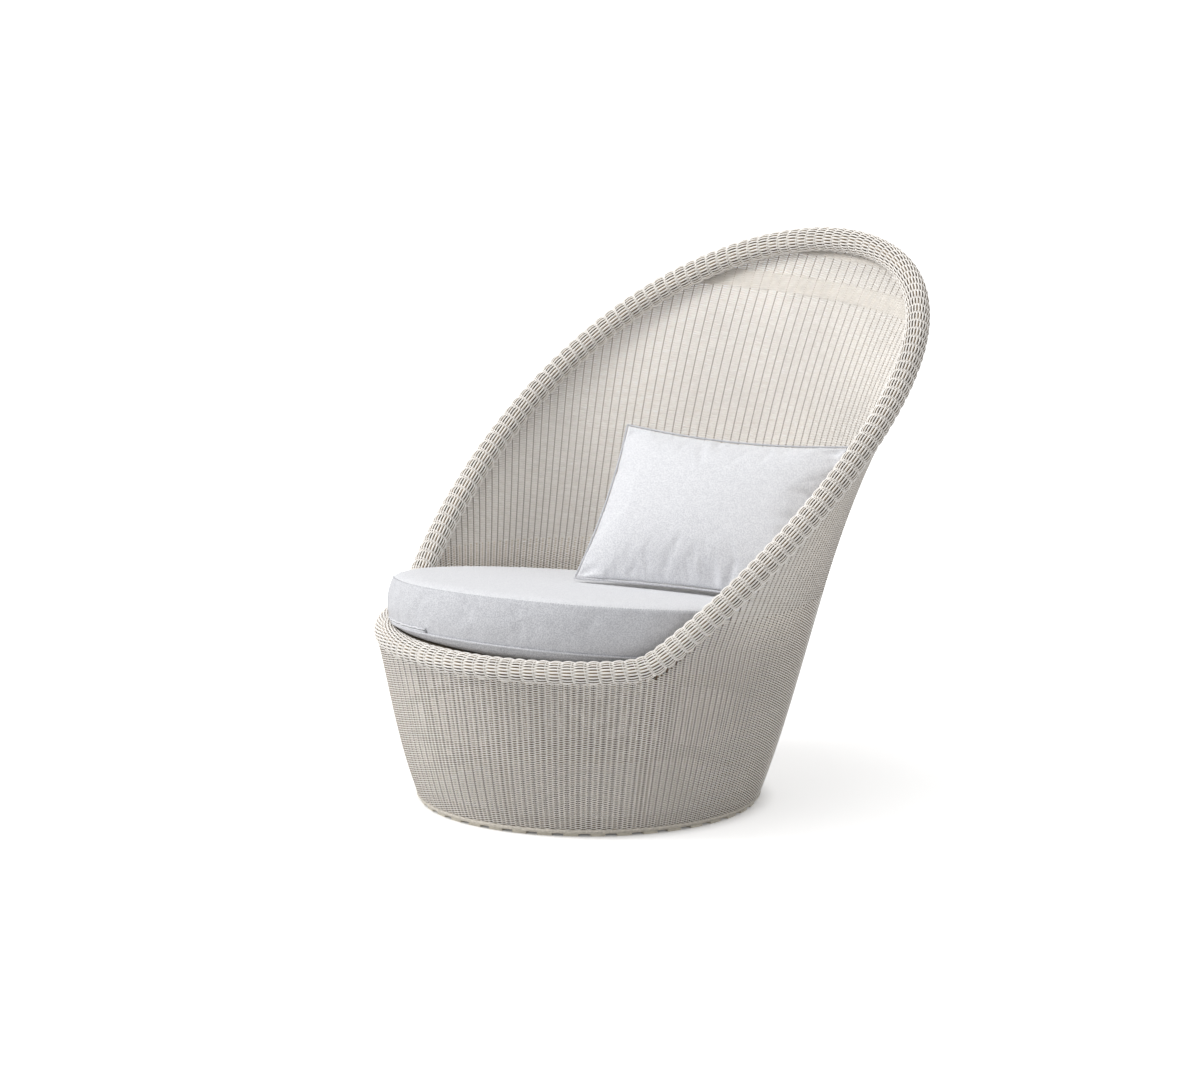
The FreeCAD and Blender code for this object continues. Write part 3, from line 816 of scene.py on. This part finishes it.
seatPlace = np.array(Matrix.Translation((0, drumY * mm, seat["height"] * mm))
                     @ Matrix.Rotation(math.radians(-seat["tilt"]), 4, "X")
                     @ Matrix.Translation((seat["shift"][0] * mm, seat["shift"][1] * mm, 0)))
rimLine = rimPoint(np.linspace(0, 2 * math.pi, 721)[:-1])


def placed(points, matrix):
    # points in millimetres in the piece's own frame, put in place in metres
    return np.asarray(points) * mm @ matrix[:3, :3].T + matrix[:3, 3]


def clearOfRoll(points, room):
    # points in metres, moved level towards the drum's axis until the rim's middle line is the room away:
    # the move s solves |gap + s * inward| = room, as a ball of that radius would press them in
    gap = points[:, None, :] / mm - rimLine[None, :, :]
    nearest = np.linalg.norm(gap, axis=2).argmin(1)
    gap = gap[np.arange(len(points)), nearest]
    inward = np.array([0.0, drumY, 0.0]) - points / mm
    inward[:, 2] = 0
    inward = unit(inward + 1e-9)
    along = (gap * inward).sum(1)
    inside = np.maximum(along ** 2 - (gap ** 2).sum(1) + room ** 2, 0.0)
    push = np.where((gap ** 2).sum(1) < room ** 2, np.sqrt(inside) - along, 0.0)
    return points + inward * push[:, None] * mm


def cushionRings():
    # radius and height of each ring, from the crown over the seam, the boxing and the piping to the foot: the
    # crown falls with the fourth power of its share, and the belly follows share * (1 - share)
    share = np.linspace(seat["innerShare"], 1, seat["crownRings"])
    crown = [share * seat["seamRadius"], seat["seamHeight"] + seat["crown"] * (1 - share ** 4)]
    share = np.linspace(0, 1, seat["boxingRings"] + 1)[1:]
    side = seat["seamRadius"] + (seat["pipingRadius"] - seat["seamRadius"]) * share
    side = side + seat["belly"] * 4 * share * (1 - share)
    boxing = [side, seat["seamHeight"] + (seat["pipingHeight"] - seat["seamHeight"]) * share]
    turn = np.linspace(0, math.pi / 2, seat["curlRings"] + 1)[1:]
    curl = [seat["footRadius"] + (seat["pipingRadius"] - seat["footRadius"]) * np.cos(turn),
            seat["pipingHeight"] - (seat["pipingHeight"] - seat["footHeight"]) * np.sin(turn)]
    foot = [seat["footRings"], [seat["footHeight"]] * len(seat["footRings"])]
    return np.concatenate([np.stack(part, 1) for part in (crown, boxing, curl, foot)])


def seatCushion():
    # rings closed by a fan at each end, out of round by a sum of sines and raised by the lean times their
    # place sideways, puffed between the pinned seams; also gives the placed rings and the crown's profile
    rings = cushionRings()
    sides = seat["sides"]
    turns = turnsRound(sides)
    ripple = sum(share * np.sin(waves * turns + start) for share, waves, start in seat["rippleShares"])
    radius = rings[:, :1] + seat["uneven"] * ripple[None, :] * (rings[:, :1] > seat["rippleFrom"])
    lean = seat["sideLean"] * radius * np.sin(turns) * np.clip(rings[:, 1:] / seat["leanHeight"], 0, 1)
    grid = np.stack([radius * np.sin(turns), -radius * np.cos(turns), rings[:, 1:] + lean], -1)
    count = len(rings) * sides
    points = np.concatenate([grid.reshape(-1, 3), [[0, 0, rings[0, 1]], [0, 0, rings[-1, 1]]]])
    quads = gridFaces(len(rings), sides, closeColumns=True)[:, ::-1]
    this = np.arange(sides)
    after = (this + 1) % sides
    lastRing = (len(rings) - 1) * sides
    top = np.stack([np.full(sides, count), this, after], -1)
    bottom = np.stack([np.full(sides, count + 1), lastRing + after, lastRing + this], -1)
    mesh = bpy.data.meshes.new("seatCushion")
    mesh.from_pydata((points * mm).tolist(), [], quads.tolist() + top.tolist() + bottom.tolist())
    seam = seat["crownRings"] - 1
    piping = seam + seat["boxingRings"]
    mesh.materials.append(finish["seat"])
    # painted shade: the boxing and the underside get the darker copy of the seat fabric
    mesh.materials.append(finish["boxing"])
    panel = np.repeat(np.append(np.arange(len(rings) - 1) >= seam, [False, True]), sides)
    mesh.polygons.foreach_set("material_index", panel.astype(np.int32))
    mesh.polygons.foreach_set("use_smooth", np.full(len(mesh.polygons), True))
    mesh.update()
    piece = bpy.data.objects.new("seatCushion", mesh)
    scene.collection.objects.link(piece)
    ringOf = np.concatenate([np.repeat(np.arange(len(rings)), sides), [0, len(rings)]])
    puff(piece, (ringOf == seam) | (ringOf >= piping), seat)
    co = readPoints(mesh) / mm
    co[:, 2] = np.maximum(co[:, 2], seat["leastHeight"])
    crownRings = co[:count].reshape(len(rings), sides, 3)[:seam + 1]
    ringRadius = np.hypot(crownRings[..., 0], crownRings[..., 1]).mean(1)
    ringHeight = (crownRings[..., 2] - seat["sideLean"] * crownRings[..., 0]).mean(1)
    co = clearOfRoll(placed(co, seatPlace), seat["rollRoom"])
    writePoints(mesh, co)
    subdivide(piece, 1)
    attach(piece, "seat_cushion")
    return piece, co[:count].reshape(len(rings), sides, 3) / mm, seam, piping, ringRadius, ringHeight


def stitchPiece(line, outward):
    # small lozenges of thread, evenly spaced along the closed seam
    loop = np.vstack([line, line[:1]])
    outLoop = np.vstack([outward, outward[:1]])
    reach = alongLine(loop)
    place = np.linspace(0, reach[-1], seat["stitches"] + 1)[:-1]
    middle = np.stack([np.interp(place, reach, loop[:, i]) for i in range(3)], -1)
    out = unit(np.stack([np.interp(place, reach, outLoop[:, i]) for i in range(3)], -1))
    way = unit(np.roll(middle, -1, 0) - np.roll(middle, 1, 0))
    length, width = seat["stitchSize"]
    ahead, beside, over = way * length / 2, np.cross(out, way) * width / 2, out * width / 2
    points = np.stack([middle + corner for corner in (ahead, beside, -ahead, -beside, over, -over)], 1)
    faces = np.array([[0, 1, 4], [1, 2, 4], [2, 3, 4], [3, 0, 4], [1, 0, 5], [2, 1, 5], [3, 2, 5], [0, 3, 5]])
    makePiece("seamStitches", points * mm, copiesOf(faces, len(place), 6), finish["stitch"],
              "seat_cushion", smooth=False)


def cushionTrim(grid, seam, piping):
    # piping, seam stitches and the zip with its two lips and its slider, laid on the cushion's own rings
    out = unit((grid - grid.mean((0, 1))) * [1, 1, 0])
    cordLine = (grid[piping] + out[piping] * seat["cordLift"]) * mm
    cordLine = clearOfRoll(cordLine, seat["rollRoom"] + seat["cordRoom"]) / mm
    # the piping gets the darker, painted-shade copy of the fabric
    cord = tubeRing("seatPiping", cordLine, out[piping], seat["cordRadius"], finish["boxing"],
                    "seat_cushion")
    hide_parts("seat_cushion_piping")
    stitchPiece(grid[seam] + out[seam] * seat["stitchLift"], out[seam])
    span = np.arange(-seat["zipSides"], 0)
    zipOut = out[piping, span]

    def level(place):
        # a line at some rings above the piping, just outside the cloth
        low = int(place)
        line = grid[piping - low] * (1 - place + low) + grid[piping - low - 1] * (place - low)
        return line[span] + zipOut * seat["zipLift"]

    lips = [level(place) for place in seat["zipLips"]]
    strip = np.stack(lips, 1) + zipOut[:, None, :] * seat["tapeLift"]
    tape = makePiece("zipTape", strip * mm, gridFaces(len(span), 2)[:, ::-1], finish["zipTape"],
                     "seat_cushion")
    solid = tape.modifiers.new("thickness", "SOLIDIFY")
    solid.thickness = 0.8 * mm
    for name, line in zip(("zipLipLow", "zipLipHigh"), lips):
        tubeRing(name, line, zipOut, seat["lipRadius"], finish["seat"], "seat_cushion",
                 closed=False)
    low, high = lips[0][-1], lips[1][-1]
    middle = level(seat["zipMiddle"])
    sides = np.stack([unit(middle[-1] - middle[-2]), zipOut[-1], unit(high - low)])
    signs = np.array([[x, y, z] for x in (-1, 1) for y in (-1, 1) for z in (-1, 1)])
    block = (low + high) / 2 + signs @ (sides * seat["sliderHalf"])
    faces = [[0, 1, 3, 2], [4, 6, 7, 5], [0, 4, 5, 1], [2, 3, 7, 6], [0, 2, 6, 4], [1, 5, 7, 3]]
    slider = makePiece("zipSlider", block * mm, faces, finish["slider"], "seat_cushion")
    subdivide(slider, 2)
    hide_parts("seat_cushion_zip")
    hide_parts("zip_slider")


seatCushionPiece, cushionGrid, seamRing, pipingRing, topRadius, topHeight = seatCushion()
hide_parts("seat_cushion_cover", "seat_cushion_foam")
cushionTrim(cushionGrid, seamRing, pipingRing)
print("seat cushion made")

# Scatter pillow: two faces that meet in a knife edge, which is drawn in between the corners
pillow = {
    "width": 430.0,
    "height": 318.0,
    "thick": 104.0,
    "faceShare": 0.43,       # each face's swell before the cloth puffs
    "cornerShare": 0.15,     # and how much less of it there is towards the corners
    "sag": 14.0,
    "pinch": 10.0,
    "centre": (116.0, 185.0, 504.8),
    "yaw": 25.5,
    "lean": 41.4,
    "roll": 0.8,
    "columns": 86,
    "rows": 64,
    "pressure": 4.0,
    "cap": 22.0,
    "shrink": -0.02,
    "stiffness": 15.0,
    "bending": 0.3,
    "weltRadius": 1.9,
    "weltLift": 1.0,
    "weltPoints": 59,        # on each side
    "tuckUnder": 15.0,       # the lower seam turns under, so the front cloth bulges over it
    # creases: start across and up, direction, length, width as shares of the half size, depth in millimetres
    "creases": (
        ((-0.12, 1.0), (0.25, -1.0), 0.34, 0.035, 5.0),
        ((0.05, 1.0), (-0.5, -1.0), 0.22, 0.03, 3.0),
        ((0.22, -1.0), (-0.35, 1.0), 0.42, 0.045, 8.0),
        ((0.34, -1.0), (0.15, 1.0), 0.3, 0.035, 5.0),
        ((0.98, -0.1), (-1.0, 0.1), 0.4, 0.06, 8.0),
        ((0.98, 0.25), (-1.0, 0.35), 0.3, 0.05, 4.0),
        ((-0.97, -0.97), (1.0, 0.9), 0.3, 0.035, 5.0),
        ((-0.97, 0.97), (1.0, -0.8), 0.24, 0.035, 4.0),
        ((0.97, 0.97), (-1.0, -0.9), 0.3, 0.04, 5.0),
    ),
    "creaseEdge": 0.06,      # creases grow over this share of the half size from a seam
    "creaseFade": 1.3,
    "ridgeShare": 0.45,      # of a crease's depth, raised on both sides of it
    "wallRoom": 4.5,
    "seatRoom": 1.0,
}
pillowPlace = np.array(Matrix.Translation((Vector(pillow["centre"]) + Vector((0, drumY, 0))) * mm)
                       @ Matrix.Rotation(math.radians(pillow["yaw"]), 4, "Z")
                       @ Matrix.Rotation(math.radians(-pillow["lean"]), 4, "X")
                       @ Matrix.Rotation(math.radians(pillow["roll"]), 4, "Y"))


def tucked(points, u, v):
    # the lower seam is turned under the pillow, most in the middle
    turn = pillow["tuckUnder"] * (1 - u ** 2) * ((1 - v) / 2) ** 3
    return points + turn[:, None] * np.array([0.0, 1.0, 0.0])


def creased(points, u, v):
    # grooves in the front cloth that run in from the seams and fade out, each a bell curve across its line
    # less two shallower ones beside it
    edge = pillow["creaseEdge"]
    held = np.clip((1 - np.abs(u)) / edge, 0, 1) * np.clip((1 - np.abs(v)) / edge, 0, 1)
    depth = np.zeros(len(u))
    for start, way, length, width, deep in pillow["creases"]:
        way = np.array(way) / np.hypot(*way)
        along = (u - start[0]) * way[0] + (v - start[1]) * way[1]
        across = (u - start[0]) * way[1] - (v - start[1]) * way[0]
        fade = np.clip(1 - along / length, 0, 1) ** pillow["creaseFade"]
        ridges = np.exp(-((np.abs(across) - 2 * width) / width) ** 2)
        depth += deep * fade * (np.exp(-(across / width) ** 2) - pillow["ridgeShare"] * ridges)
    return points + (depth * held)[:, None] * np.array([0.0, 1.0, 0.0])


def rested(points, extra=0.0):
    # points in metres, kept off the seat cushion's crown, the shell's inner side and the roll
    flat = np.linalg.inv(seatPlace)
    local = (points @ flat[:3, :3].T + flat[:3, 3]) / mm
    top = np.interp(np.hypot(local[:, 0], local[:, 1]), topRadius, topHeight) + seat["sideLean"] * local[:, 0]
    local[:, 2] = np.maximum(local[:, 2], top + pillow["seatRoom"] + extra)
    points = placed(local, seatPlace) / mm
    shift = skinShift(points[:, 2]) + drumY
    reach = np.hypot(points[:, 0], points[:, 1] - shift)
    share = np.minimum(1.0, (skinRadius(points[:, 2]) - shell["wall"] - pillow["wallRoom"] - extra) / reach)
    points[:, 0] *= share
    points[:, 1] = shift + (points[:, 1] - shift) * share
    return clearOfRoll(points * mm, seat["rollRoom"] + extra)


def pillowOutline(u, v):
    # u and v run from -1 to 1; the edges are drawn in between the corners
    x = u * (pillow["width"] / 2 - pillow["pinch"] * (1 - v ** 2))
    z = v * (pillow["height"] / 2 - pillow["sag"] * (1 - u ** 2))
    return x, z


def pillowWelt():
    # cord along the knife edge, a little outside the seam, in a darker copy of the fabric as painted shade
    side = np.linspace(-1, 1, pillow["weltPoints"] + 1)[:-1]
    one = np.ones_like(side)
    u = np.concatenate([side, one, -side, -one])
    v = np.concatenate([-one, side, one, -side])
    x, z = pillowOutline(u, v)
    level = np.zeros_like(x)
    outward = unit(np.stack([u * (np.abs(u) == 1), level, v * (np.abs(v) == 1)], -1) + 1e-6)
    line = np.stack([x, level, z], -1) + outward * pillow["weltLift"]
    line = rested(placed(tucked(line, u, v), pillowPlace), pillow["weltRadius"]) / mm
    return tubeRing("pillowWelt", line, outward @ pillowPlace[:3, :3].T, pillow["weltRadius"], finish["welt"],
                    "pillow")


def scatterPillow():
    # two grids of points that share their edge, each swollen by the root of (1 - u^2) * (1 - v^2), then
    # puffed, creased in front, tucked under, put in place and kept off the seat and the shell
    rows, columns = pillow["rows"], pillow["columns"]
    v, u = np.meshgrid(np.linspace(-1, 1, rows), np.linspace(-1, 1, columns), indexing="ij")
    x, z = pillowOutline(u, v)
    swell = ((1 - u ** 2) * (1 - v ** 2)) ** 0.5 * (1 - pillow["cornerShare"] * (u * v) ** 2)
    deep = pillow["faceShare"] * pillow["thick"] * swell
    edge = (np.abs(u) == 1) | (np.abs(v) == 1)
    backIndex = np.arange(rows * columns).reshape(rows, columns)
    backIndex[~edge] = rows * columns + np.arange((~edge).sum())
    points = np.concatenate([np.stack([x, -deep, z], -1).reshape(-1, 3), np.stack([x, deep, z], -1)[~edge]])
    faces = gridFaces(rows, columns)
    faces = np.concatenate([faces, backIndex.ravel()[faces[:, [0, 3, 2, 1]]]])
    piece = makePiece("scatterPillow", points * mm, faces, finish["seat"])
    puff(piece, np.append(edge.ravel(), np.zeros((~edge).sum(), bool)), pillow)
    co = readPoints(piece.data) / mm
    co = np.concatenate([creased(co[:rows * columns], u.ravel(), v.ravel()), co[rows * columns:]])
    allU = np.concatenate([u.ravel(), u[~edge]])
    allV = np.concatenate([v.ravel(), v[~edge]])
    writePoints(piece.data, rested(placed(tucked(co, allU, allV), pillowPlace)))
    subdivide(piece, 1)
    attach(piece, "pillow")
    welt = pillowWelt()
    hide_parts("pillow_cover", "pillow_fill")
    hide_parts("pillow_welt")


scatterPillow()
print("pillow made")

# Studio
studio = {
    "cameraPlace": (9.04719, -7.34817 + drumY * mm, 2.89274),
    "lens": 203.167,
    "azimuth": 50.817,
    "elevation": 11.727,
    "worldLight": 0.5,
    # place, size and power of each light, in metres and watts
    "keyLight": ((-2.4, -3.4, 4.6), 2.8, 200.0),
    "topLight": ((0.4, -0.6, 5.5), 3.6, 60.0),
    "aim": (0, 0, 0.4),
    "floorHalf": 30.0,
    "floorTone": 0.93,
    "nearGlow": 0.5,
    "nearRadii": (0.27, 0.34),   # distances from the drum's axis over which each glow sets in
    "farGlow": 1.0,
    "farRadii": (0.6, 2.4),
}


def cameraPiece():
    # the camera looks against its backward direction, which is -Y turned by the azimuth and raised
    azimuth, elevation = math.radians(studio["azimuth"]), math.radians(studio["elevation"])
    level = math.cos(elevation)
    backward = Vector((math.sin(azimuth) * level, -math.cos(azimuth) * level, math.sin(elevation)))
    right = Vector((math.cos(azimuth), math.sin(azimuth), 0))
    upward = backward.cross(right)
    data = bpy.data.cameras.new("photoCamera")
    data.lens = studio["lens"]
    data.sensor_width = 36.0
    data.sensor_fit = "HORIZONTAL"
    data.clip_end = 200.0
    piece = bpy.data.objects.new("photoCamera", data)
    turn = Matrix((right, upward, backward)).transposed().to_4x4()
    piece.matrix_world = Matrix.Translation(studio["cameraPlace"]) @ turn
    scene.collection.objects.link(piece)
    scene.camera = piece


def softLight(name):
    # a round area light, turned to the chair
    place, size, power = studio[name]
    data = bpy.data.lights.new(name, "AREA")
    data.shape = "DISK"
    data.size = size
    data.energy = power
    piece = bpy.data.objects.new(name, data)
    piece.location = place
    piece.rotation_euler = (Vector(studio["aim"]) - Vector(place)).to_track_quat("-Z", "Y").to_euler()
    scene.collection.objects.link(piece)


def studioWorld():
    # white where the camera or a reflection sees it, weaker as a light
    world = bpy.data.worlds.new("studio")
    world.use_nodes = True
    tree = world.node_tree
    seen = node(tree, "ShaderNodeLightPath").outputs
    direct = maths(tree, "MAXIMUM", seen["Is Camera Ray"], seen["Is Glossy Ray"])
    strength = spread(tree, direct, 0, 1, studio["worldLight"])
    feed(tree.nodes["Background"], {"Color": (1, 1, 1, 1), "Strength": strength})
    scene.world = world


def studioFloor():
    # paper that glows white for the camera, by its distance from the drum's axis
    half, tone = studio["floorHalf"], studio["floorTone"]
    points = [[-half, -half, 0], [half, -half, 0], [half, half, 0], [-half, half, 0]]
    material, tree, bsdf = newMaterial("floorPaper")
    place = node(tree, "ShaderNodeTexCoord").outputs["Object"]
    centred = node(tree, "ShaderNodeVectorMath", {"operation": "SUBTRACT"}, i0=place, i1=(0, drumY * mm, 0))
    away = node(tree, "ShaderNodeVectorMath", {"operation": "LENGTH"}, i0=centred.outputs[0]).outputs["Value"]
    glow = 0.0
    for key in ("near", "far"):
        glow = spread(tree, away, *studio[key + "Radii"], glow, studio[key + "Glow"], "SMOOTHSTEP")
    seen = node(tree, "ShaderNodeLightPath").outputs["Is Camera Ray"]
    feed(bsdf, {"Base Color": (tone, tone, tone, 1), "Roughness": 0.9, "Specular IOR Level": 0.1,
                "Emission Color": (1, 1, 1, 1), "Emission Strength": maths(tree, "MULTIPLY", glow, seen)})
    floor = makePiece("floor", points, [[0, 1, 2, 3]], material, smooth=False)


cameraPiece()
softLight("keyLight")
softLight("topLight")
studioWorld()
studioFloor()
scene.view_settings.view_transform = "Standard"
print("studio ready")
